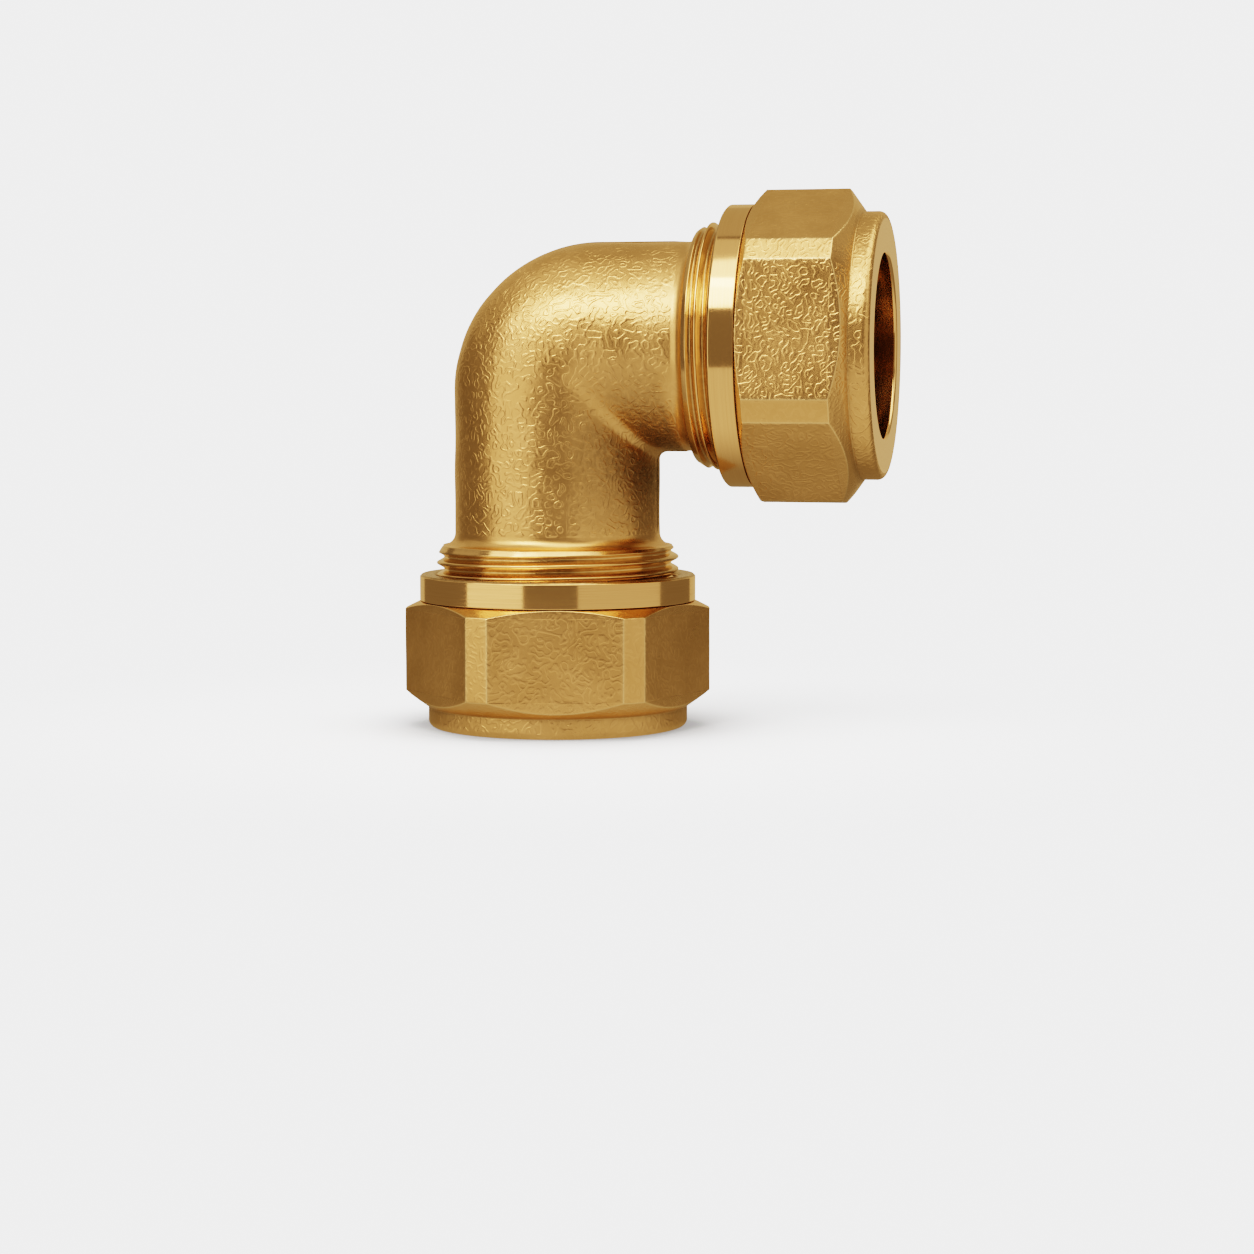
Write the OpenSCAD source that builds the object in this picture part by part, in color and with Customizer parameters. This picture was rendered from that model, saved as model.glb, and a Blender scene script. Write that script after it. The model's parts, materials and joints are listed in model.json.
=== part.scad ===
// Compression elbow for copper tube: a forged brass 90 degree body, two hexagon
// compression nuts and the two olives they squeeze onto the tubes.
// The lower nut stands on its outer face at z = 0 with its axis on +Z;
// the side nut points along +X at the height side_axis_z.

/* [Tube] */
// outside diameter of the tube the fitting takes
tube_d = 22; // [15:0.5:28]
// free play of the tube in the sockets and olives, on diameter
tube_play = 0.2; // [0.1:0.05:0.6]
// depth of each tube socket, from the mouth of the body to the stop
socket_depth = 14.6; // [10:0.1:20]
// diameter of the water way beyond the stops
water_d = 19; // [12:0.5:21]

/* [Body] */
// outside diameter of both legs
leg_d = 25.4; // [24.5:0.1:28]
// distance from the lower shoulder up to the side axis
lower_leg = 24.4; // [20:0.1:30]
// distance from the lower axis out to the side shoulder
side_leg = 18.2; // [16:0.1:24]
// centreline radius of the bend
bend_r = 5.4; // [4:0.1:8]
// radius of the fillet between a leg and its shoulder
leg_fillet = 1.5; // [0.5:0.1:2]
// diameter of the shoulder above each thread
shoulder_d = 28.4; // [27:0.1:29.6]
// length of each threaded spigot, from shoulder to mouth
spigot_len = 11.3; // [9:0.1:14]
// width of the forging seam that runs round the outside in the plane of both axes
seam_w = 0.8; // [0.4:0.1:2]
// height of the forging seam above the legs
seam_h = 0.12; // [0.05:0.01:0.4]

/* [Thread] */
// major diameter of the outside thread
thread_d = 30; // [28:0.5:34]
// pitch of the thread
pitch = 1.5; // [1:0.25:2]
// radial depth of the thread
thread_depth = 0.9; // [0.6:0.05:1.1]
// radial clearance of the nut over the thread
thread_play = 0.15; // [0.05:0.01:0.3]

/* [Nut] */
// size across the flats of the hexagon
across_flats = 34.2; // [32:0.5:38]
// width of the bevel on each corner of the hexagon
corner_bevel = 3; // [1:0.1:5]
// diameter of the collar at the outer face
collar_d = 32.2; // [30:0.1:34]
// height of the collar
collar_h = 2.5; // [1:0.1:4]
// radius of the rounded rim of the collar
collar_round = 0.8; // [0.3:0.1:1.2]
// height of the cone between collar and flats
cone_h = 2.1; // [1:0.1:4]
// height of the flats
flat_h = 10; // [8:0.1:14]
// height of the cone between flats and ring
ring_cone_h = 1.1; // [0.5:0.1:2]
// height of the turned ring at the inner end
ring_h = 3.2; // [1:0.1:4]
// depth of the undercut between the hexagon and the ring, on radius
undercut = 0.3; // [0.1:0.05:0.6]
// diameter of the turned ring
ring_d = 34.2; // [32:0.1:36]
// thickness of the front wall
front_wall = 3; // [2:0.1:4]
// gap between the turned ring and the shoulder, nut finger tight
shown_thread = 3.6; // [2:0.1:6]
// turn of the lower nut about its axis
lower_nut_angle = 12.5; // [-30:0.5:30]
// turn of the side nut about its axis
side_nut_angle = 6; // [-30:0.5:30]

/* [Olive] */
// length of an olive
olive_len = 8.4; // [6:0.1:10]
// largest diameter of an olive
olive_d = 25; // [24:0.1:26]
// thickness of an olive at its ends
olive_lip = 0.4; // [0.2:0.05:0.8]
// length of the cone at each end
olive_cone = 2.4; // [1:0.1:3]

/* [Hidden] */
$fn = 96;
e = 0.01;
leg_r = leg_d / 2;
bore_r = (tube_d + tube_play) / 2;
water_r = water_d / 2;
shoulder_r = shoulder_d / 2;
thread_r = thread_d / 2;
root_r = thread_r - thread_depth;
nut_len = collar_h + cone_h + flat_h + ring_cone_h + ring_h;
shoulder_z = nut_len + shown_thread;
mouth_z = shoulder_z - spigot_len;
side_axis_z = shoulder_z + lower_leg;
side_face_x = side_leg + shoulder_z;
flank = tan(30);
// length of the straight part of each leg, from shoulder to the start of the bend
lower_run = lower_leg - bend_r;
side_run = side_leg - bend_r;
// olive seats: same slope as the ends of the olive, a hair of gap to it
olive_r = olive_d / 2;
olive_end_r = bore_r + olive_lip;
seat_gap = 0.04;
cone_slope = (olive_r - olive_end_r) / olive_cone;
olive_z = front_wall + 0.6;
olive_top = olive_z + olive_len;
seat_top = olive_top + (olive_end_r - bore_r) / cone_slope + seat_gap;
seat_mouth_r = bore_r + (seat_top - mouth_z) * cone_slope;
nut_seat_z = olive_z - (olive_end_r - bore_r) / cone_slope - seat_gap;
nut_seat_len = 3.4;
nut_bore_r = thread_r + thread_play;
lead_in = 0.25;
ring_chamfer = 0.25;
// rings of the thread: radius and height of the corners of one ring
rings = floor((spigot_len - 1.6) / pitch);
ring_half = thread_depth * flank + 0.1;
ring_section = [[0, -ring_half], [thread_depth, -0.1], [thread_depth, 0.1], [0, ring_half]];
first_ring_z = shoulder_z - 0.5 - ring_half - (rings - 1) * pitch;
brass = [0.80, 0.62, 0.30];
bright_brass = [0.88, 0.72, 0.40];
olive_brass = [0.85, 0.62, 0.32];

// Threaded spigot of the body in the frame of its nut: nut face at z = 0, body above.
// The thread is drawn as one V-shaped ring to each pitch.
module spigot() {
  rotate_extrude()
    polygon([
      [0, mouth_z],
      [root_r - 0.4, mouth_z],
      [root_r, mouth_z + 0.4],
      for (i = [0 : rings - 1], q = ring_section)
        [root_r + q[0], first_ring_z + i * pitch + q[1]],
      [root_r, shoulder_z - 0.5],
      [shoulder_r, shoulder_z - 0.4],
      [shoulder_r, shoulder_z],
      [0, shoulder_z]
    ]);
}

// Fillet that widens a leg into its shoulder, in the frame of the nut.
module leg_root() {
  rotate_extrude()
    difference() {
      translate([0, shoulder_z - e])
        square([leg_r + leg_fillet, leg_fillet + e]);
      translate([leg_r + leg_fillet, shoulder_z + leg_fillet])
        circle(leg_fillet);
    }
}

// Everything bored out of one leg, in the frame of its nut.
module socket() {
  rotate_extrude()
    polygon([
      [0, mouth_z - 1],
      [seat_mouth_r, mouth_z - 1],
      [seat_mouth_r, mouth_z],
      [bore_r, seat_top],
      [bore_r, mouth_z + socket_depth],
      [water_r, mouth_z + socket_depth + 0.4],
      [0, mouth_z + socket_depth + 0.4]
    ]);
}

// Quarter bend of a round bar about the centre of the bend, plus both straight runs.
module bent_bar(r, down, out) {
  translate([0, 0, side_axis_z - bend_r - down])
    cylinder(r = r, h = down);
  translate([bend_r, 0, side_axis_z])
    rotate([0, 90, 0])
      cylinder(r = r, h = out);
  translate([bend_r, 0, side_axis_z - bend_r])
    rotate([-90, 0, 0])
      rotate([0, 0, 180])
        rotate_extrude(angle = 90)
          intersection() {
            translate([bend_r, 0])
              circle(r);
            translate([0, -r])
              square([bend_r + r, 2 * r]);
          }
}

// Puts something drawn in the frame of the lower nut onto the side axis.
module to_side() {
  translate([side_face_x, 0, side_axis_z])
    rotate([0, -90, 0])
      children();
}

// Forging seam: a low flat ridge in the plane of the axes, proud of both legs.
module seam() {
  rr = leg_r + seam_h;
  intersection() {
    bent_bar(rr, lower_run, side_run);
    translate([-rr - 1, -seam_w / 2, shoulder_z])
      cube([side_leg + rr + 1, seam_w, lower_leg + rr + 1]);
  }
}

module elbow_body() {
  color(brass)
    difference() {
      union() {
        bent_bar(leg_r, lower_run, side_run);
        seam();
        spigot();
        leg_root();
        to_side() {
          spigot();
          leg_root();
        }
      }
      bent_bar(water_r, lower_run, side_run);
      socket();
      to_side()
        socket();
    }
}

// Hexagon with a flat bevel on every corner, cut by the cones above and below.
module hexagon(angle) {
  half = across_flats / 2;
  corner = half / cos(30);
  bevel = corner - corner_bevel / 2 * flank;
  // the cones run out past the edges of the bevels, which stay flat
  crown = norm([bevel, corner_bevel / 2]) + 0.1;
  intersection() {
    rotate([0, 0, angle])
      translate([0, 0, collar_h - e])
        linear_extrude(nut_len - ring_h - collar_h + e)
          intersection() {
            circle(r = corner, $fn = 6);
            rotate(30)
              circle(r = bevel / cos(30), $fn = 6);
          }
    rotate_extrude()
      polygon([
        [0, 0],
        [collar_d / 2, 0],
        [collar_d / 2, collar_h],
        [crown, collar_h + cone_h],
        [crown, nut_len - ring_h - ring_cone_h],
        [ring_d / 2 - undercut, nut_len - ring_h],
        [0, nut_len - ring_h]
      ]);
  }
}

module nut(angle) {
  difference() {
    union() {
      hexagon(angle);
      // collar with a rounded rim, and the turned ring
      rotate_extrude() {
        square([collar_d / 2 - collar_round, collar_h]);
        translate([0, collar_round])
          square([collar_d / 2, collar_h - collar_round]);
        translate([collar_d / 2 - collar_round, collar_round])
          circle(collar_round);
        polygon([
          [0, nut_len - ring_h - e],
          [ring_d / 2, nut_len - ring_h - e],
          [ring_d / 2, nut_len - ring_chamfer],
          [ring_d / 2 - ring_chamfer, nut_len],
          [0, nut_len]
        ]);
      }
    }
    // front bore, cone for the olive, and the hole that goes over the thread
    rotate_extrude()
      polygon([
        [0, -1],
        [bore_r, -1],
        [bore_r, nut_seat_z],
        [bore_r + nut_seat_len * cone_slope, nut_seat_z + nut_seat_len],
        [nut_bore_r, nut_seat_z + nut_seat_len],
        [nut_bore_r, nut_len - lead_in],
        [nut_bore_r + lead_in, nut_len],
        [nut_bore_r + lead_in, nut_len + 1],
        [0, nut_len + 1]
      ]);
  }
}

module lower_nut() {
  color(bright_brass)
    nut(lower_nut_angle);
}

module side_nut() {
  color(bright_brass)
    to_side()
      nut(side_nut_angle);
}

module olive() {
  rotate_extrude()
    polygon([
      [bore_r, olive_z],
      [olive_end_r, olive_z],
      [olive_r, olive_z + olive_cone],
      [olive_r, olive_top - olive_cone],
      [olive_end_r, olive_top],
      [bore_r, olive_top]
    ]);
}

module lower_olive() {
  color(olive_brass)
    olive();
}

module side_olive() {
  color(olive_brass)
    to_side()
      olive();
}

elbow_body();
lower_nut();
side_nut();
lower_olive();
side_olive();
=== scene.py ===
"""Brass compression elbow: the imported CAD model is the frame, and the pieces built here
stand for its nodes. Lengths are in millimetres until a mesh is made, and the stage is in
metres. Named angles are in degrees unless a comment says radians; arrays of angles are in
radians."""
import json
import math

import bpy
import numpy as np
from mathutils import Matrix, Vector


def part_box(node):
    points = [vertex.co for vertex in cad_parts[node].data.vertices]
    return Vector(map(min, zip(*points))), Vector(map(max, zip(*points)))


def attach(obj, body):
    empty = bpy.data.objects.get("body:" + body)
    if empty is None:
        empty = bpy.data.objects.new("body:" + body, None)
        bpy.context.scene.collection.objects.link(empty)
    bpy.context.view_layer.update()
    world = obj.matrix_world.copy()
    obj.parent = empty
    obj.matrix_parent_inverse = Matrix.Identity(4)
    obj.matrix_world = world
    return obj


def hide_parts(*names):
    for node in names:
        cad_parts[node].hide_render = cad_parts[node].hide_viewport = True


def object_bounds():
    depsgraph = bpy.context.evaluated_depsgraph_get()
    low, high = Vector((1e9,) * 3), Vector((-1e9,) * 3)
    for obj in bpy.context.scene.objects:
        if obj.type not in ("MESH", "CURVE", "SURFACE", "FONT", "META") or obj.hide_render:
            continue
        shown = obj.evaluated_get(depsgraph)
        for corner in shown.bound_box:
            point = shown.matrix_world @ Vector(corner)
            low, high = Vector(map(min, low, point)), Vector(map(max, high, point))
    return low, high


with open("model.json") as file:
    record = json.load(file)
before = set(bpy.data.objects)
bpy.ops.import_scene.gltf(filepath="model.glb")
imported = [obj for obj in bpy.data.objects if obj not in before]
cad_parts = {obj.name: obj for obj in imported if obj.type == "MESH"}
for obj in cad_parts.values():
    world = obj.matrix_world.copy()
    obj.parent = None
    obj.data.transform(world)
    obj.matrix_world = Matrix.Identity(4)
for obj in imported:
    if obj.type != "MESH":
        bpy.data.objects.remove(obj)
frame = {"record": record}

MM = 0.001
TURN = 2 * math.pi
cad_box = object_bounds()

# ---------------------------------------------------------------- sizes from the frame
mounts = {m["name"]: m for m in frame["record"]["mounts"]}
side_socket = mounts["side_pipe_socket"]


def node_box(name):
    """Lowest and highest corner of a CAD node, in millimetres."""
    low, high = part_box(name)
    return np.array(low) / MM, np.array(high) / MM


nut_high = node_box("lower_nut")[1]
body_low, body_high = node_box("elbow_body")
olive_low, olive_high = node_box("lower_olive")

SIDE_X = side_socket["pos_m"][0] / MM
SIDE_Z = side_socket["pos_m"][2] / MM
BORE_R = side_socket["dims"]["r_mm"]
STOP_Z = side_socket["dims"]["length_mm"]
NUT_LEN = nut_high[2]
THREAD_R = body_high[1]
MOUTH_Z = body_low[2]
OLIVE_R = olive_high[1]
OLIVE_Z = olive_low[2]
OLIVE_TOP = olive_high[2]

# ---------------------------------------------------------------- sizes of the design
SEAM_H = 0.12
LEG_R = 12.7
WATER_R = 9.5
STOP_CHAMFER = 0.4
BEND_R = 5.4
# radii of the inner corner of the bend, outside and in the water way
CROTCH_R = 1.2
WAY_CROTCH_R = 0.4
CREASE_ROUND = 1.5
SHOWN_THREAD = 3.6
SHOULDER_Z = NUT_LEN + SHOWN_THREAD
SHOULDER_R = 14.2
LEG_FILLET = 1.5
PITCH = 1.5
THREAD_DEPTH = 0.9
THREAD_PLAY = 0.15
LEAD_IN = 0.25
ROOT_R = THREAD_R - THREAD_DEPTH
MOUTH_R = ROOT_R - 0.3
MOUTH_CHAMFER = 0.4
SEAM_WIDTH = 0.32
# widths of the thread's ridge on the body, and of the groove in the nut, base and crest
RIDGE = (1.3, 0.16)
GROOVE = (1.46, 0.34)
OLIVE_LIP = 0.4
OLIVE_CONE = 2.4
CONE_SLOPE = (OLIVE_R - BORE_R - OLIVE_LIP) / OLIVE_CONE
SEAT_GAP = 0.04
LIP_RUN = OLIVE_LIP / CONE_SLOPE + SEAT_GAP
SEAT_TOP = OLIVE_TOP + LIP_RUN
SEAT_MOUTH_R = BORE_R + (SEAT_TOP - MOUTH_Z) * CONE_SLOPE
NUT_SEAT_Z = OLIVE_Z - LIP_RUN
NUT_SEAT_LEN = 3.4

ACROSS_FLATS = 34.2
CORNER_BEVEL = 3.0
# half of the angle that one flat takes up between its bevels
HALF_FLAT_ANGLE = 25.5
COLLAR_R = 16.1
COLLAR_H = 2.5
COLLAR_ROUND = 0.8
MOUTH_LIP = 0.35
CONE_H = 2.1
FLAT_H = 10.0
RING_CONE_H = 1.1
RING_R = 17.1
RING_UNDERCUT = 0.3
RING_CHAMFER = 0.25
LOWER_NUT_ANGLE = 12.5
SIDE_NUT_ANGLE = 6.0

# ---------------------------------------------------------------- camera
CAMERA_AZIMUTH = 12.3
CAMERA_DISTANCE = 345.5
CAMERA_HEIGHT = 43.0
CAMERA_AIM_X = 8.8
CAMERA_PITCH = 5.07
FOCAL_PX = 2800
FRAME_PX = 1254
SENSOR = 36.0

# ---------------------------------------------------------------- fineness of the meshes
# distance from the end of a straight run to the row that keeps its shading flat
SUPPORT = 0.05
# largest share of a straight run that the rounding of one corner takes up
EASE_SHARE = 0.45
BODY_COLUMNS = 320
NUT_COLUMNS = 480
OLIVE_COLUMNS = 256
SEAM_CROWDING = 0.5
FILLET_STEPS = 12
# rows along the lower leg, round the bend and along the side leg
LEG_ROWS = (64, 96, 44)
WAY_ROWS = (10, 30, 8)

# ---------------------------------------------------------------- wear, finish and painted shade
# finish of each kind of surface: how turned, how wrinkled, how coarse
TURNED_FINISH = (1, 0, 0)
BODY_FINISH = (0, 0.6, 0)
WAY_FINISH = (0.3, 0.5, 0)
FLAT_FINISH = (0, 0.30, 0)
CONE_FINISH = (0.25, 0.2, 0)
COLLAR_FINISH = (0, 0.5, 0)
# the coarse flat of a nut: how wrinkled and how coarse
COARSE_FINISH = (0.45, 1)
BODY_DENTS = 0.02
NUT_DENTS = 0.01
DEEPEST_DENT = 0.12
# painted shade in recesses, between parts, in the inner corner and beside the seam, 0 to 1
SOCKET_SHADE = 0.5
THREAD_ROOT_SHADE = 0.55
BORE_SHADE = 0.25
NUT_THREAD_SHADE = 0.6
UNDERCUT_SHADE = 0.8
COLLAR_ROOT_SHADE = 0.5
OLIVE_SHADE = 0.3
CORNER_SHADE = 0.95
SEAM_LINE_SHADE = 0.9

RNG = np.random.default_rng(22)


def smooth_min(a, b, k):
    """Smaller of a and b, blended over about k."""
    return 0.5 * (a + b - np.sqrt((a - b) ** 2 + k * k))


def smooth_max(a, b, k):
    return -smooth_min(-a, -b, k)


def waves(count, shortest, longest):
    """A seeded set of plane waves whose sum is a smooth, cloudy field."""
    direction = RNG.normal(size=(count, 3))
    direction /= np.linalg.norm(direction, axis=1)[:, None]
    length = RNG.uniform(shortest, longest, count)
    return direction * (TURN / length)[:, None], RNG.uniform(0, TURN, count)


def field(points, wave_set):
    """The cloudy field at each point, about -1 to 1."""
    vectors, phases = wave_set
    gain = 1.4 / math.sqrt(len(phases))
    return gain * np.sin(points @ vectors.T + phases).sum(-1)


DENTS = waves(count=22, shortest=2.6, longest=8.0)


# ---------------------------------------------------------------- profiles
def arc(centre_r, centre_z, radius, start, end, steps):
    """Points of an arc in a half section, angles from the +r direction."""
    a = np.radians(np.linspace(start, end, steps + 1))
    return [(centre_r + radius * math.cos(t), centre_z + radius * math.sin(t)) for t in a]


def supports(start, end):
    """Points just inside both ends of a straight run, which keep its shading flat."""
    length = np.linalg.norm(end - start)
    if length < 4 * SUPPORT:
        return []
    step = (end - start) / length * SUPPORT
    return [start + step, end - step]


def eased(points, radius, steps=3):
    """A half section with every inner corner rounded."""
    corners = [np.array(p, float) for p in points]
    result = [corners[0]]
    for before, corner, after in zip(corners, corners[1:], corners[2:]):
        u = (before - corner) / np.linalg.norm(before - corner)
        v = (after - corner) / np.linalg.norm(after - corner)
        shorter = min(math.dist(before, corner), math.dist(after, corner))
        reach = min(radius, EASE_SHARE * shorter)
        turn = [
            corner + reach * ((1 - t) ** 2 * u + t * t * v) for t in np.linspace(0, 1, steps + 1)
        ]
        result += supports(result[-1], turn[0]) + turn
    result += supports(result[-1], corners[-1]) + [corners[-1]]
    return [(p[0], p[1]) for p in result]


def line(start, end, steps):
    return [tuple(p) for p in np.linspace(start, end, steps + 1)]


def ring_rows(points, angles):
    """One row of the grid for each point of a half section."""
    return [(np.full_like(angles, r), np.full_like(angles, z)) for r, z in points]


def thread_height(z, angle, base, crest):
    """Height of a right-hand ridge, 0 to 1, at height z and an angle round the axis."""
    rounding = 0.4
    offset = (z - PITCH * angle / TURN + PITCH / 2) % PITCH - PITCH / 2
    t = np.clip((base / 2 - np.abs(offset)) / ((base - crest) / 2), 0, 1)
    return (1 - rounding) * t + rounding * (1 - np.cos(math.pi * t)) / 2


# ---------------------------------------------------------------- meshes
def grid_object(name, places, turning, finish, grime, body, node):
    """A closed surface from a grid of places that joins up with itself both ways."""
    rows, cols = places.shape[:2]
    index = np.arange(rows * cols).reshape(rows, cols)
    below = np.roll(index, -1, axis=0)
    quads = np.stack(
        [index, np.roll(index, -1, axis=1), np.roll(below, -1, axis=1), below], -1
    ).reshape(-1, 4)
    mesh = bpy.data.meshes.new(name)
    mesh.vertices.add(rows * cols)
    mesh.vertices.foreach_set("co", (places * MM).reshape(-1))
    mesh.loops.add(quads.size)
    mesh.loops.foreach_set("vertex_index", quads.reshape(-1))
    mesh.polygons.add(len(quads))
    mesh.polygons.foreach_set("loop_start", np.arange(0, quads.size, 4))
    mesh.polygons.foreach_set("use_smooth", np.ones(len(quads), bool))
    mesh.update(calc_edges=True)
    for key, data in (("turning", turning), ("finish", finish)):
        vectors = mesh.attributes.new(key, "FLOAT_VECTOR", "POINT")
        vectors.data.foreach_set("vector", data.reshape(-1))
    # the third attribute: painted shade above 0, painted highlight below 0
    mesh.attributes.new("grime", "FLOAT", "POINT").data.foreach_set("value", grime.reshape(-1))
    piece = bpy.data.objects.new(name, mesh)
    bpy.context.scene.collection.objects.link(piece)
    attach(piece, body)
    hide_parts(node)
    return piece


def lathe_coordinates(places, angles):
    """How far along its section each vertex lies, in mm, and its direction round the axis."""
    step = np.linalg.norm(np.diff(places, axis=0), axis=2).mean(axis=1)
    along = np.concatenate([[0], np.cumsum(step)])[:, None]
    rows = len(places)
    return np.stack(
        [
            np.repeat(along, len(angles), 1),
            np.tile(np.cos(angles), (rows, 1)),
            np.tile(np.sin(angles), (rows, 1)),
        ],
        -1,
    )


def outward(places):
    """Unit normals of a grid that joins up with itself both ways."""
    across = np.roll(places, -1, 1) - np.roll(places, 1, 1)
    along = np.roll(places, -1, 0) - np.roll(places, 1, 0)
    normal = np.cross(across, along)
    return normal / np.maximum(np.linalg.norm(normal, axis=2), 1e-9)[..., None]


def on_lower(r, z, angles):
    return np.stack([r * np.cos(angles), r * np.sin(angles), z], -1)


def on_side(r, z, angles):
    """The same section on the side axis, so that the lines along both legs join up."""
    return np.stack([SIDE_X - z, r * np.sin(angles), SIDE_Z - r * np.cos(angles)], -1)


# ---------------------------------------------------------------- elbow body
def body_angles(count, crowd):
    """Angles round a leg, closer together at the forging seam."""
    u = np.linspace(0, TURN, count, endpoint=False)
    return u - crowd / 2 * np.sin(2 * u)


def spigot_rows(angles, helix_angles):
    """Outside of a threaded spigot from its mouth to the leg, in the frame of its nut."""
    step = 0.075
    run_out = 0.5
    run_out_slope = 0.62
    mouth = eased(
        [
            (SEAT_MOUTH_R, MOUTH_Z),
            (MOUTH_R, MOUTH_Z),
            (MOUTH_R + MOUTH_CHAMFER, MOUTH_Z + MOUTH_CHAMFER),
        ],
        0.08,
    )
    rows = ring_rows(mouth, angles)
    finish = [TURNED_FINISH] * len(rows)
    for z in np.arange(MOUTH_Z + MOUTH_CHAMFER + SUPPORT, SHOULDER_Z - SUPPORT, step):
        ridge = THREAD_DEPTH * thread_height(z, helix_angles, *RIDGE)
        start = MOUTH_R + z - MOUTH_Z
        end = SHOULDER_R + run_out_slope * (SHOULDER_Z - z)
        r = np.minimum(ROOT_R + ridge, np.minimum(start, end))
        floor_r = ROOT_R + (SHOULDER_R - ROOT_R) * max(0, 1 - (SHOULDER_Z - z) / run_out)
        rows.append((np.maximum(r, floor_r), np.full_like(angles, z)))
        finish.append(TURNED_FINISH)
    fillet = arc(
        LEG_R + LEG_FILLET, SHOULDER_Z + LEG_FILLET, LEG_FILLET, -90, -180, FILLET_STEPS
    )
    rows += ring_rows(fillet, angles)
    # the marks of the tool fade out over the start of the fillet
    finish += [(max(0, 0.7 - i / 4), 0, 0) for i in range(len(fillet))]
    return rows, finish


def bend_rows(radius, inner_r, start, end, counts, angles):
    """Lines along both legs and round the bend, from the lower leg to the side leg."""
    near = radius * np.cos(angles)
    y = radius * np.sin(angles)
    rho = inner_r + smooth_max(BEND_R - near - inner_r, 0 * near, CREASE_ROUND)
    straight, turn, run = counts
    rows = []
    for t in np.linspace(0, 1, straight + 1)[1:]:
        z = start + (SIDE_Z - near - rho - start) * t
        rows.append(np.stack([near, y, z], -1))
    for t in np.linspace(0, math.pi / 2, turn + 1)[1:]:
        x = near + rho * (1 - math.cos(t))
        z = SIDE_Z - near - rho * (1 - math.sin(t))
        rows.append(np.stack([x, y, z], -1))
    for t in np.linspace(0, 1, run + 1)[1:-1]:
        x = near + rho + (end - near - rho) * t
        rows.append(np.stack([x, y, SIDE_Z - near], -1))
    return rows


def socket_section():
    """Half section of a tube socket, from the mouth to the start of the water way."""
    corners = [
        (SEAT_MOUTH_R, MOUTH_Z),
        (BORE_R, SEAT_TOP),
        (BORE_R, STOP_Z),
        (WATER_R, STOP_Z + STOP_CHAMFER),
        (WATER_R, STOP_Z + 3 * STOP_CHAMFER),
    ]
    return eased(corners, 0.15)[1:]


def inner_corner_shade(places):
    """Painted shade in the corner between the legs, except on the rib of the crease, and a
    line of painted shade along both sides of the seam."""
    reach = 9
    crease_width = 1.6
    line_y = 0.5
    line_width = 0.14
    x, y, z = np.moveaxis(places, -1, 0)
    corner = np.hypot(x - LEG_R, z - SIDE_Z + LEG_R)
    crease = np.exp(-(((SIDE_Z - z - x) / crease_width) ** 2))
    hollow_shade = CORNER_SHADE * np.exp(-((corner / reach) ** 2)) * (1 - 0.85 * crease)
    beside_seam = SEAM_LINE_SHADE * np.exp(-(((np.abs(y) - line_y) / line_width) ** 2))
    return np.maximum(hollow_shade, beside_seam)


def elbow_body():
    """The forged body: one closed skin that runs out over the first spigot, both legs and
    the second spigot, and back through the sockets and the water way."""
    angles = body_angles(BODY_COLUMNS, SEAM_CROWDING)
    rows, finish = spigot_rows(angles, angles)
    outer = [on_lower(r, z, angles) for r, z in rows]
    leg = bend_rows(
        LEG_R, CROTCH_R, SHOULDER_Z + LEG_FILLET, SIDE_X - SHOULDER_Z - LEG_FILLET,
        LEG_ROWS, angles,
    )
    outer += leg
    finish += [BODY_FINISH] * len(leg)
    rows, side_finish = spigot_rows(angles, math.pi - angles)
    outer += [on_side(r, z, angles) for r, z in rows[::-1]]
    finish += side_finish[::-1]
    section = socket_section()
    inner = [on_side(r, z, angles) for r, z in ring_rows(section, angles)]
    way = bend_rows(
        WATER_R, WAY_CROTCH_R, section[-1][1], SIDE_X - section[-1][1], WAY_ROWS, angles
    )
    inner += way[::-1]
    inner += [on_lower(r, z, angles) for r, z in ring_rows(section, angles)][::-1]
    finish += [TURNED_FINISH] * len(section) + [WAY_FINISH] * len(way)
    finish += [TURNED_FINISH] * len(section)
    places = np.array(outer + inner)
    turning = lathe_coordinates(places, angles)
    finish = np.repeat(np.array(finish, float)[:, None, :], len(angles), 1)
    # the forged skin between the shoulders has a seam in the plane of the axes, and dents
    fade_rows = 8
    last_leg_row = len(outer) - len(side_finish)
    forged = np.zeros(len(places))
    forged[last_leg_row - len(leg): last_leg_row] = 1
    edge = np.minimum(np.cumsum(forged), np.cumsum(forged[::-1])[::-1])
    skin = (forged * np.clip(edge / fade_rows, 0, 1))[:, None]
    seam = SEAM_H * 0.9 * np.exp(-((places[..., 1] / SEAM_WIDTH) ** 2))
    dents = BODY_DENTS * (field(places, DENTS) - 1) * (seam < 0.01)
    lift = skin * np.maximum(seam + dents, -DEEPEST_DENT)
    places = places + outward(places) * lift[..., None]
    # painted shade in the corner between the legs and along both sides of the seam, on the forged
    # skin
    grime = skin * inner_corner_shade(places)
    # painted shade over the inside of the sockets and the water way
    grime[len(outer):] = SOCKET_SHADE
    # painted shade in the root of the thread
    thread_rows = len(rows) - FILLET_STEPS - 1
    low_r = np.array([row[0] for row in rows[:thread_rows]])
    low = THREAD_ROOT_SHADE * np.clip(1 - (low_r - ROOT_R) / THREAD_DEPTH, 0, 1) ** 2
    grime[:thread_rows] = low
    grime[len(outer) - thread_rows: len(outer)] = low[::-1]
    return grid_object(
        "elbow_body_skin", places, turning, finish, grime, "elbow", "elbow_body"
    )


# ---------------------------------------------------------------- nuts
HALF_FLATS = ACROSS_FLATS / 2
# a sixth of a turn, and half of the angle that a bevel takes up, in radians
SIXTH = TURN / 6
BEVEL_R = HALF_FLATS / math.cos(SIXTH / 2) - CORNER_BEVEL / 2 * math.tan(SIXTH / 2)
BEVEL_ANGLE = math.atan(CORNER_BEVEL / 2 / BEVEL_R)
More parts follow.
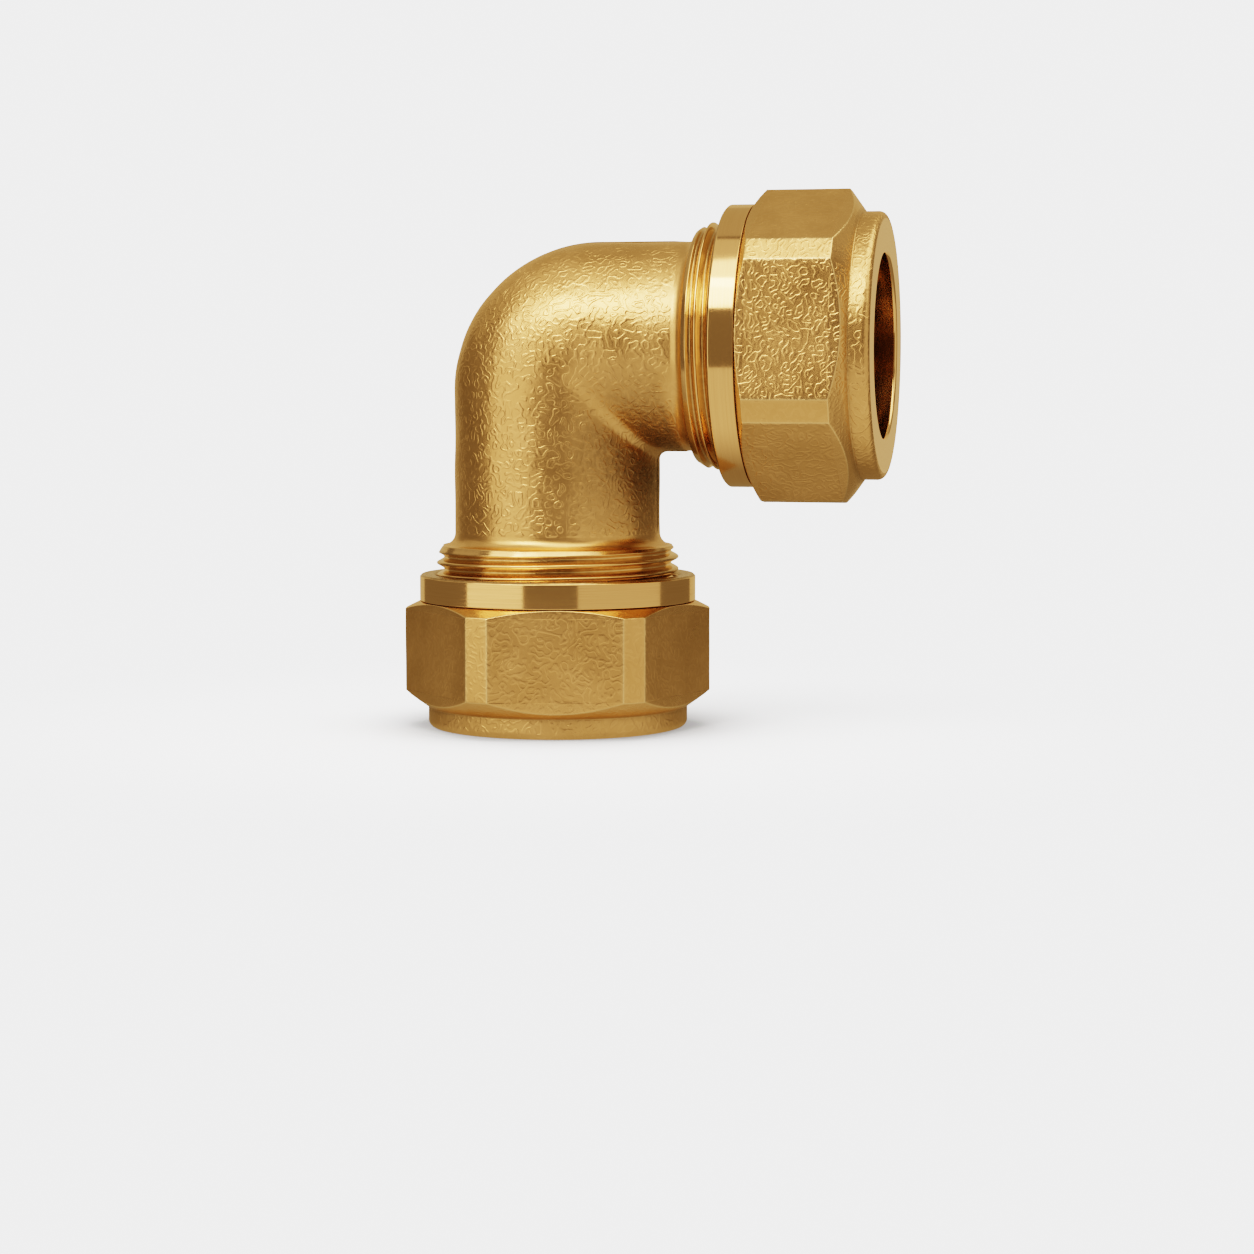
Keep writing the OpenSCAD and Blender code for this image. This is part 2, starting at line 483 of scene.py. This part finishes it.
# the cones run out just past the edges of the bevels, which stay flat
CROWN_R = math.hypot(BEVEL_R, CORNER_BEVEL / 2) + 0.1
EDGE_ROUND = 0.06
FACE_EDGE = COLLAR_R - COLLAR_ROUND
HEX_TOP = COLLAR_H + CONE_H + FLAT_H + RING_CONE_H
FLATS_START = COLLAR_H + CONE_H
FLATS_END = HEX_TOP - RING_CONE_H
MINOR_R = ROOT_R + THREAD_PLAY
MAJOR_R = THREAD_R + THREAD_PLAY
NUT_SEAT_TOP = NUT_SEAT_Z + NUT_SEAT_LEN


def from_corner(angles, turn):
    """Angle from the nearest corner of a hexagon turned by so many degrees."""
    return (angles - math.radians(turn) + SIXTH / 2) % SIXTH - SIXTH / 2


def nut_angles(turn):
    """Angles round a nut, closer together at both edges of every bevel."""
    even = np.linspace(0, TURN, NUT_COLUMNS, endpoint=False)
    even = even[np.abs(np.abs(from_corner(even, turn)) - BEVEL_ANGLE) > math.radians(0.8)]
    near = np.radians([-0.6, -0.3, -0.15, -0.05, 0.05, 0.15, 0.3, 0.6])
    corners = math.radians(turn) + SIXTH * np.arange(6)
    edges = np.concatenate([corners - BEVEL_ANGLE, corners + BEVEL_ANGLE])
    return np.sort(np.concatenate([even, (edges[:, None] + near).ravel() % TURN]))


def hexagon_r(angles, turn):
    """Radius of a hexagon with a bevel on each corner, edges slightly rounded."""
    off_corner = from_corner(angles, turn)
    flat = HALF_FLATS / np.cos(SIXTH / 2 - np.abs(off_corner))
    corner = BEVEL_R / np.cos(off_corner)
    return smooth_min(flat, corner, EDGE_ROUND)


def hexagon_rows(angles, turn):
    """Rows of the hexagon with the cones below and above it, and how much painted highlight its
    edges take.
    """
    row_step = 0.06
    end_step = 0.05
    margin = 0.3
    levels = np.concatenate(
        [
            np.arange(COLLAR_H - 0.1, FLATS_START + margin, row_step),
            np.linspace(FLATS_START + margin, FLATS_END - margin, 24)[1:-1],
            np.arange(FLATS_END - margin, HEX_TOP - 0.02, end_step),
        ]
    )
    low_slope = (CROWN_R - COLLAR_R) / CONE_H
    high_slope = (CROWN_R - RING_R + RING_UNDERCUT) / RING_CONE_H
    hex_r = hexagon_r(angles, turn)
    side_edge = np.abs(np.abs(from_corner(angles, turn)) - BEVEL_ANGLE) * BEVEL_R
    # reaches of the painted highlight along the arcs and along the sides of the bevels
    arc_highlight_reach = 0.05
    side_highlight_reach = 0.09
    rows = []
    finish = []
    edge_highlight = []
    for z in levels:
        low = COLLAR_R + low_slope * (z - COLLAR_H)
        high = CROWN_R - high_slope * (z - FLATS_END)
        cone_r = np.minimum(low, high)
        r = smooth_min(hex_r, cone_r, EDGE_ROUND)
        r = np.maximum(r, min(COLLAR_R, RING_R - RING_UNDERCUT))
        rows.append((r, np.full_like(angles, z)))
        at_arc = np.exp(-np.abs(hex_r - cone_r) / arc_highlight_reach)
        at_side = np.exp(-side_edge / side_highlight_reach) * (hex_r < cone_r)
        edge_highlight.append(np.maximum(at_arc, at_side))
        finish.append(FLAT_FINISH if FLATS_START < z < FLATS_END else CONE_FINISH)
    return rows, finish, np.array(edge_highlight)


def nut_thread_rows(angles):
    """Rows down the thread inside a nut, from the lead-in to the relief above the seat."""
    step = 0.1
    start = NUT_LEN - 0.3
    relief_top = NUT_SEAT_TOP + 1.2
    rows = []
    for z in np.arange(start, relief_top, -step):
        groove = (MAJOR_R - MINOR_R) * thread_height(z, angles, *GROOVE)
        lead_in = MAJOR_R - (start - z)
        relief = MAJOR_R - (z - relief_top)
        rows.append((np.maximum(MINOR_R + groove, max(lead_in, relief)), np.full_like(angles, z)))
    inside = eased(
        [
            (MAJOR_R, relief_top - 0.05),
            (MAJOR_R, NUT_SEAT_TOP),
            (BORE_R + NUT_SEAT_LEN * CONE_SLOPE, NUT_SEAT_TOP),
            (BORE_R, NUT_SEAT_Z),
            (BORE_R, MOUTH_LIP + 0.1),
        ],
        0.12,
    )
    return rows + ring_rows(inside, angles)


def nut_grid(turn, coarse_flat):
    """Places, lathe coordinates, finish and painted shading of one nut in its own frame: painted
    shade in its recesses and a painted highlight on the edges of its hexagon. A nut with
    a coarse flat has a rougher skin on the flat at that angle."""
    angles = nut_angles(turn)
    rows = []
    finish = []

    def add(new_rows, kind):
        rows.extend(new_rows)
        finish.extend([kind] * len(new_rows))

    lip = arc(BORE_R + MOUTH_LIP, MOUTH_LIP, MOUTH_LIP, 180, 270, 4)
    add(ring_rows(lip, angles), TURNED_FINISH)
    add(ring_rows(line((BORE_R + 0.5, 0), (FACE_EDGE - 0.05, 0), 8), angles), TURNED_FINISH)
    rim = arc(FACE_EDGE, COLLAR_ROUND, COLLAR_ROUND, -90, 0, 10)
    add(ring_rows(rim, angles), COLLAR_FINISH)
    side = line((COLLAR_R, COLLAR_ROUND + 0.1), (COLLAR_R, COLLAR_H - 0.15), 6)
    add(ring_rows(side, angles), COLLAR_FINISH)
    first = len(rows)
    hex_rows, hex_finish, edge_highlight = hexagon_rows(angles, turn)
    rows += hex_rows
    finish += hex_finish
    last = len(rows)
    ring = eased(
        [
            (RING_R - RING_UNDERCUT, HEX_TOP - 0.02),
            (RING_R - RING_UNDERCUT, HEX_TOP),
            (RING_R, HEX_TOP),
            (RING_R, NUT_LEN - RING_CHAMFER),
            (RING_R - RING_CHAMFER, NUT_LEN),
            (MAJOR_R + LEAD_IN, NUT_LEN),
            (MAJOR_R, NUT_LEN - LEAD_IN),
        ],
        0.05,
    )
    add(ring_rows(ring, angles), TURNED_FINISH)
    inside_from = len(rows)
    add(nut_thread_rows(angles), TURNED_FINISH)
    r = np.array([row[0] for row in rows])
    z = np.array([row[1] for row in rows])
    places = on_lower(r, z, angles)
    finish = np.repeat(np.array(finish, float)[:, None, :], len(angles), 1)
    # small dents on the forged faces of the hexagon, away from those of the body
    dents = NUT_DENTS * (field(places + 50, DENTS) - 1)
    forged = (finish[..., 1] > 0.2) * (finish[..., 0] < 0.3)
    forged[:first] = False
    places[..., :2] *= (1 + forged * dents / np.maximum(r, 1))[..., None]
    if coarse_flat is not None:
        off = (angles - math.radians(coarse_flat) + math.pi) % TURN - math.pi
        on_flat = np.abs(off) < math.radians(HALF_FLAT_ANGLE)
        finish[first:last, on_flat, 1:] = COARSE_FINISH
    # painted shade inside, in the undercut below the ring and where the collar meets the cone
    shade_reach = 0.35
    undercut = np.exp(-np.maximum(HEX_TOP - z, 0) / shade_reach) * (r < RING_R - 0.05)
    collar_root = np.exp(-np.abs(z - COLLAR_H) / shade_reach) * (r < COLLAR_R + 0.5)
    grime = np.maximum(UNDERCUT_SHADE * undercut, COLLAR_ROOT_SHADE * collar_root)
    in_bore = z[inside_from:] < NUT_SEAT_Z + 0.2
    grime[inside_from:] = np.where(in_bore, BORE_SHADE, NUT_THREAD_SHADE)
    grime = np.clip(grime, 0, 1)
    # a painted highlight along the edges of the hexagon, stored as negative values
    grime[first:last] -= edge_highlight
    return places, lathe_coordinates(places, angles), finish, grime


def nut(name, turn, to_row_frame, coarse_flat=None):
    places, turning, finish, grime = nut_grid(turn, coarse_flat)
    return grid_object(
        name + "_shell", to_row_frame(places), turning, finish, grime, name, name
    )


def to_lower(places):
    return places


def to_side(places):
    """From the frame of a nut to its place on the side axis."""
    return np.stack([SIDE_X - places[..., 2], places[..., 1], SIDE_Z + places[..., 0]], -1)


# ---------------------------------------------------------------- olives
def olive(name, to_row_frame):
    """A compression ring: a short barrel with a cone at each end, a hair inside its solid."""
    angles = np.linspace(0, TURN, OLIVE_COLUMNS, endpoint=False)
    middle = (OLIVE_Z + OLIVE_TOP) / 2
    end_r = BORE_R + OLIVE_LIP
    barrel_r = OLIVE_R - 0.02
    barrel = eased(
        [
            (BORE_R, middle),
            (BORE_R, OLIVE_Z),
            (end_r, OLIVE_Z),
            (barrel_r, OLIVE_Z + OLIVE_CONE),
            (barrel_r, OLIVE_TOP - OLIVE_CONE),
            (end_r, OLIVE_TOP),
            (BORE_R, OLIVE_TOP),
            (BORE_R, middle + 0.5),
        ],
        0.12,
        steps=4,
    )
    rows = ring_rows(barrel, angles)
    r = np.array([row[0] for row in rows])
    z = np.array([row[1] for row in rows])
    places = on_lower(r, z, angles)
    turning = lathe_coordinates(places, angles)
    finish = np.zeros_like(places)
    finish[:] = TURNED_FINISH
    # painted shade over the whole ring, which sits between the nut and the body
    grime = np.full(places.shape[:2], OLIVE_SHADE)
    return grid_object(
        name + "_ring", to_row_frame(places), turning, finish, grime, name, name
    )


# ---------------------------------------------------------------- materials
class Graph:
    """Short ways to add and join the shader nodes of a material or a world."""

    def __init__(self, owner):
        self.nodes = owner.node_tree.nodes
        self.links = owner.node_tree.links
        self.nodes.clear()

    def add(self, kind, settings=None, **inputs):
        node = self.nodes.new(kind)
        for key, value in (settings or {}).items():
            setattr(node, key, value)
        for key, value in inputs.items():
            socket = self.socket(node, key)
            if isinstance(value, bpy.types.NodeSocket):
                self.links.new(value, socket)
            else:
                socket.default_value = value
        return node

    @staticmethod
    def socket(node, key):
        if key[0] == "_":
            return node.inputs[int(key[1:])]
        return node.inputs[key.replace("_", " ")]

    def math(self, operation, a, b=0.0):
        return self.add("ShaderNodeMath", {"operation": operation}, _0=a, _1=b).outputs[0]

    def attribute(self, name, output="Vector"):
        return self.add("ShaderNodeAttribute", {"attribute_name": name}).outputs[output]

    def noise(self, place, scale, detail, roughness=0.5):
        node = self.add(
            "ShaderNodeTexNoise", Vector=place, Scale=scale, Detail=detail, Roughness=roughness
        )
        return node.outputs["Fac"]

    def contours(self, place, scale, turns):
        """Winding ridges, 0 to 1, along the contour lines of a fine cloudy field."""
        cloud = self.noise(place, scale, 0.0)
        wave = self.math("SINE", self.math("MULTIPLY", cloud, turns * TURN))
        return self.ramp(wave, -0.2, 0.95)

    def ramp(self, value, low, high, to_low=0.0, to_high=1.0):
        """A smooth step from to_low to to_high as value goes from low to high."""
        node = self.add(
            "ShaderNodeMapRange", {"interpolation_type": "SMOOTHSTEP"},
            _0=value, _1=low, _2=high, _3=to_low, _4=to_high,
        )
        return node.outputs[0]

    def mix(self, factor, a, b):
        """Colour a at factor 0 and b at factor 1; each is a socket or three numbers."""
        node = self.add("ShaderNodeMix", {"data_type": "RGBA"}, _0=factor)
        for key, value in ((6, a), (7, b)):
            if isinstance(value, bpy.types.NodeSocket):
                self.links.new(value, node.inputs[key])
            else:
                node.inputs[key].default_value = (*value, 1)
        return node.outputs[2]

    def lerp(self, factor, a, b):
        node = self.add("ShaderNodeMix", {"data_type": "FLOAT"}, _0=factor, _2=a, _3=b)
        return node.outputs[0]

    def bump(self, height, strength, distance_mm, normal=None):
        node = self.add(
            "ShaderNodeBump", Strength=strength, Distance=distance_mm * MM, Height=height
        )
        if normal is not None:
            self.links.new(normal, node.inputs["Normal"])
        return node.outputs["Normal"]


# colour of the painted shade in recesses, between parts, in the inner corner and beside the seam
PAINTED_SHADE = (0.22, 0.175, 0.115)
# colour of the painted highlight on the edges of the hexagons
EDGE_HIGHLIGHT = (1.0, 0.86, 0.62)
FORGED = (0.84, 0.59, 0.35)
TURNED = (0.92, 0.66, 0.40)
DARK = (0.62, 0.42, 0.22)
EDGE_TINT = (1.0, 0.93, 0.80)
# texture scales, per metre
WORM_SCALE = 1000
COARSE_WORM_SCALE = 1080
GAP_SCALE = 900
LUMP_SCALE = 1700
PATCH_SCALE = 120
# heights of the forged skin and of the tool's marks, in millimetres
SKIN_HEIGHT = 0.062
MARK_HEIGHT = 0.004


def forged_skin(g, place, coarse):
    """Winding ridges about half a millimetre apart, broken into short worms, over lumps."""
    fine = g.contours(place, WORM_SCALE, 3.0)
    wide = g.contours(place, COARSE_WORM_SCALE, 3.2)
    gaps = g.ramp(g.noise(place, GAP_SCALE, 1.0), 0.36, 0.58, 0.5, 1.0)
    lumps = g.noise(place, LUMP_SCALE, 2.0, 0.6)
    worms = g.math("MULTIPLY", g.lerp(coarse, fine, wide), gaps)
    return g.math("ADD", worms, g.math("MULTIPLY", lumps, 0.5)), lumps


def tool_marks(g):
    """Fine rings that follow the tool round the part, uneven along the cut."""
    stretch = g.add(
        "ShaderNodeVectorMath", {"operation": "MULTIPLY"},
        _0=g.attribute("turning"), _1=(6.0, 0.8, 0.8),
    ).outputs[0]
    return g.noise(stretch, 1.6, 3.0, 0.65)


def brass(name):
    """Brass that is a wrinkled forged skin or a turned surface, as the mesh says. The
    attribute finish holds how turned a place is, how wrinkled and how coarse; turning
    holds where it lies along and round the cut; the third attribute holds painted shade
    above 0 and a painted highlight below."""
    material = bpy.data.materials.new(name)
    material.use_nodes = True
    g = Graph(material)
    place = g.add("ShaderNodeTexCoord").outputs["Object"]
    kind = g.add("ShaderNodeSeparateXYZ", Vector=g.attribute("finish"))
    turned, wrinkled, coarse = kind.outputs
    skin, lumps = forged_skin(g, place, coarse)
    rings = tool_marks(g)

    amount = g.math("MULTIPLY", wrinkled, g.math("SUBTRACT", 1.0, turned))
    amount = g.math("MULTIPLY", amount, g.lerp(coarse, 1.0, 1.2))
    normal = g.bump(g.math("MULTIPLY", skin, amount), 1.0, SKIN_HEIGHT)
    normal = g.bump(g.math("MULTIPLY", rings, turned), 0.4, MARK_HEIGHT, normal)

    # cloudy where forged and darker in the hollows of its skin as painted shade, streaked along
    # the cut where turned
    patches = g.noise(place, PATCH_SCALE, 3.0, 0.6)
    forged = g.mix(g.ramp(patches, 0.35, 0.7, 0.55, 1.0), DARK, FORGED)
    # painted shade in the valleys of the wrinkled skin
    hollow_shade = g.math("SUBTRACT", 1.0, g.ramp(skin, 0.25, 0.9))
    forged = g.mix(g.math("MULTIPLY", hollow_shade, 0.22), forged, DARK)
    colour = g.mix(turned, forged, g.mix(g.ramp(rings, 0.3, 0.75), TURNED, FORGED))
    # painted shade, patchy with the lumps, darkens the colour and raises the roughness where the
    # third attribute is above 0
    shading_attribute = g.attribute("grime", "Fac")
    grime = g.math("MULTIPLY", g.math("MAXIMUM", shading_attribute, 0.0), g.ramp(lumps, 0.2, 0.7, 0.6, 1.0))
    # a painted highlight lightens the edges of the hexagons, with lower roughness, where the
    # third attribute is below 0
    edge_highlight = g.math("MULTIPLY", g.math("MAXIMUM", g.math("MULTIPLY", shading_attribute, -1.0), 0.0), 0.7)
    colour = g.mix(edge_highlight, g.mix(grime, colour, PAINTED_SHADE), EDGE_HIGHLIGHT)

    skin_rough = g.ramp(patches, 0.3, 0.7, 0.27, 0.34)
    turned_rough = g.ramp(rings, 0.3, 0.7, 0.07, 0.14)
    roughness = g.lerp(turned, skin_rough, turned_rough)
    roughness = g.math("ADD", roughness, g.math("MULTIPLY", grime, 0.2))
    roughness = g.lerp(edge_highlight, roughness, 0.25)
    shader = g.add(
        "ShaderNodeBsdfPrincipled", Base_Color=colour, Metallic=1.0, Roughness=roughness,
        Specular_Tint=(*EDGE_TINT, 1), Normal=normal,
    )
    output = g.add("ShaderNodeOutputMaterial")
    g.links.new(shader.outputs[0], output.inputs["Surface"])
    return material


# ---------------------------------------------------------------- stage
BACKDROP = (1.98, 1.98, 1.99)
WARM = (1.0, 0.74, 0.43)
# part of the floor's brightness under the object that comes from the lights, the
# brightness that they give a white sheet there, and the distances over which it fades
SHADOW_SHARE = 0.65
FLOOR_LIGHT = 1.04
SHADOW_FADE = (0.02, 0.09)
# reach of the painted contact shadow, a dark line made by occlusion where the object meets the
# floor, and how dark it gets
CONTACT_REACH = 0.014
CONTACT_LEVEL = 0.35
FLOOR_RADIUS = 30
POOL_RADIUS = 0.16
LIGHT_DISTANCE = 0.9
# the point that the lights face, as shares of the way out and up to the side opening
LIGHT_AIM = (0.3, 0.7)
# stretch over which the pool of light fades from its back level to its front level
POOL_FADE = (-0.01, 0.035)
# how far under the object the floor and the pool of light lie
FLOOR_DROP = 0.00002
POOL_DROP = 0.0004


def disc(name, radius, height):
    """A flat round sheet that belongs to the stage."""
    count = 96
    angles = [TURN * i / count for i in range(count)]
    rim = [Vector((math.cos(t), math.sin(t), 0)) * radius for t in angles]
    mesh = bpy.data.meshes.new(name)
    mesh.from_pydata(rim, [], [list(range(count))])
    sheet = bpy.data.objects.new(name, mesh)
    bpy.context.scene.collection.objects.link(sheet)
    sheet.location.z = height
    return sheet


def stage_material(name):
    """A material for the stage, its graph, and the place on the sheet."""
    material = bpy.data.materials.new(name)
    material.use_nodes = True
    g = Graph(material)
    return material, g, g.add("ShaderNodeTexCoord").outputs["Object"]


def studio_floor():
    """A wide pale floor that takes soft shadow near the object, is even far away, and
    doesn't hide the object from below."""
    floor = disc("studio_floor", FLOOR_RADIUS, cad_box[0][2] - FLOOR_DROP)
    material, g, place = stage_material("pale_floor")
    distance = g.add("ShaderNodeVectorMath", {"operation": "LENGTH"}, _0=place).outputs["Value"]
    near = g.ramp(distance, *SHADOW_FADE, SHADOW_SHARE, 0.0)
    # painted contact shadow: occlusion darkens both the lit paper and the even glow near the
    # object
    open_sky = g.add("ShaderNodeAmbientOcclusion", {"samples": 8}, Distance=CONTACT_REACH)
    open_sky = g.ramp(open_sky.outputs["AO"], CONTACT_LEVEL, 1.0, CONTACT_LEVEL, 1.0)
    paper = [level / (FLOOR_LIGHT * tint) for level, tint in zip(BACKDROP, WARM)]
    paper = g.mix(g.math("MULTIPLY", near, open_sky), (0, 0, 0), paper)
    lit = g.add("ShaderNodeBsdfDiffuse", Color=paper).outputs[0]
    even = g.math("MULTIPLY", g.math("SUBTRACT", 1.0, near), open_sky)
    glow = g.add("ShaderNodeEmission", Color=(*BACKDROP, 1), Strength=even).outputs[0]
    above = g.add("ShaderNodeAddShader", _0=lit, _1=glow).outputs[0]
    from_below = g.add("ShaderNodeNewGeometry").outputs["Backfacing"]
    clear = g.add("ShaderNodeBsdfTransparent").outputs[0]
    both = g.add("ShaderNodeMixShader", _0=from_below, _1=above, _2=clear).outputs[0]
    output = g.add("ShaderNodeOutputMaterial")
    g.links.new(both, output.inputs["Surface"])
    floor.data.materials.append(material)
    floor.visible_diffuse = False
    floor.visible_glossy = False


def light_pool(front_level, back_level):
    """The floor as the metal sees it: bright in front of the object, dim behind it."""
    pool = disc("light_pool", POOL_RADIUS, cad_box[0][2] - POOL_DROP)
    material, g, place = stage_material("pool_glow")
    forward = g.add(
        "ShaderNodeVectorMath", {"operation": "DOT_PRODUCT"}, _0=place, _1=bearing_vector(0)
    ).outputs["Value"]
    level = g.ramp(forward, *POOL_FADE, back_level, front_level)
    glow = g.add("ShaderNodeEmission", Color=(*WARM, 1), Strength=level).outputs[0]
    output = g.add("ShaderNodeOutputMaterial")
    g.links.new(glow, output.inputs["Surface"])
    pool.data.materials.append(material)
    pool.visible_camera = False
    pool.visible_shadow = False


def studio_world(level):
    """Even pale backdrop for the camera, a dimmer even room for everything else."""
    world = bpy.data.worlds.new("studio")
    bpy.context.scene.world = world
    world.use_nodes = True
    g = Graph(world)
    seen = g.add("ShaderNodeLightPath").outputs["Is Camera Ray"]
    room = g.add("ShaderNodeBackground", Color=(*WARM, 1), Strength=level).outputs[0]
    backdrop = g.add("ShaderNodeBackground", Color=(*BACKDROP, 1), Strength=1.0).outputs[0]
    both = g.add("ShaderNodeMixShader", _0=seen, _1=room, _2=backdrop).outputs[0]
    output = g.add("ShaderNodeOutputWorld")
    g.links.new(both, output.inputs["Surface"])


def bearing_vector(azimuth):
    """Level unit vector, azimuth degrees to the right of the side the photo is taken from."""
    bearing = math.radians(CAMERA_AZIMUTH + azimuth)
    return (math.sin(bearing), -math.cos(bearing), 0)


def softbox(name, azimuth, elevation, wide, high, radiance):
    """A rectangular light that faces the object. Azimuth counts from the camera's side,
    positive to the right of the picture; wide and high are the angles that it fills."""
    centre = Vector((SIDE_X * LIGHT_AIM[0], 0, SIDE_Z * LIGHT_AIM[1])) * MM
    lift = math.radians(elevation)
    away = Vector(bearing_vector(azimuth)) * math.cos(lift) + Vector((0, 0, math.sin(lift)))
    light = bpy.data.lights.new(name, "AREA")
    light.shape = "RECTANGLE"
    light.size = 2 * LIGHT_DISTANCE * math.tan(math.radians(wide / 2))
    light.size_y = 2 * LIGHT_DISTANCE * math.tan(math.radians(high / 2))
    light.energy = radiance * math.pi * light.size * light.size_y
    light.color = WARM
    lamp = bpy.data.objects.new(name, light)
    bpy.context.scene.collection.objects.link(lamp)
    lamp.location = centre + away * LIGHT_DISTANCE
    lamp.rotation_euler = away.to_track_quat("Z", "Y").to_euler()
    lamp.visible_camera = False


def camera():
    """The camera of the photo, level across the picture and tipped down a little."""
    data = bpy.data.cameras.new("camera")
    data.sensor_width = SENSOR
    data.lens = FOCAL_PX / FRAME_PX * SENSOR
    lens = bpy.data.objects.new("camera", data)
    bpy.context.scene.collection.objects.link(lens)
    back = Vector(bearing_vector(0)) * CAMERA_DISTANCE
    lens.location = (Vector((CAMERA_AIM_X, 0, CAMERA_HEIGHT)) + back) * MM
    lens.rotation_euler = (math.radians(90 - CAMERA_PITCH), 0, math.radians(CAMERA_AZIMUTH))
    bpy.context.scene.camera = lens


# ---------------------------------------------------------------- the object
skin = brass("forged_body_brass")
nut_brass = brass("nut_brass_finish")
olive_brass = brass("olive_brass_finish")

elbow_body().data.materials.append(skin)
nut("lower_nut", LOWER_NUT_ANGLE, to_lower).data.materials.append(nut_brass)
nut("side_nut", SIDE_NUT_ANGLE, to_side, SIDE_NUT_ANGLE - 90).data.materials.append(nut_brass)
for olive_name, place in (("lower_olive", to_lower), ("side_olive", to_side)):
    olive(olive_name, place).data.materials.append(olive_brass)

studio_floor()
light_pool(front_level=0.75, back_level=0.25)
studio_world(level=0.2)
# azimuth, elevation, width, height, radiance
softbox("key_light", -37, 43, 25, 24, 5.6)
softbox("left_high", -65, 41, 30, 27, 2.3)
softbox("left_panel", -53.5, 0, 51, 54, 1.05)
softbox("right_panel", 56, 0, 78, 54, 0.42)
softbox("right_high", 62, 41, 35, 27, 1.2)
softbox("top_left", -45, 72, 80, 34, 0.5)
softbox("top_right", 45, 72, 80, 34, 2.3)
softbox("top_back", 180, 55, 120, 50, 0.25)
softbox("back_panel", 180, 5, 70, 50, 0.4)
camera()
bpy.context.scene.view_settings.view_transform = "Filmic"
bpy.context.scene.view_settings.look = "High Contrast"
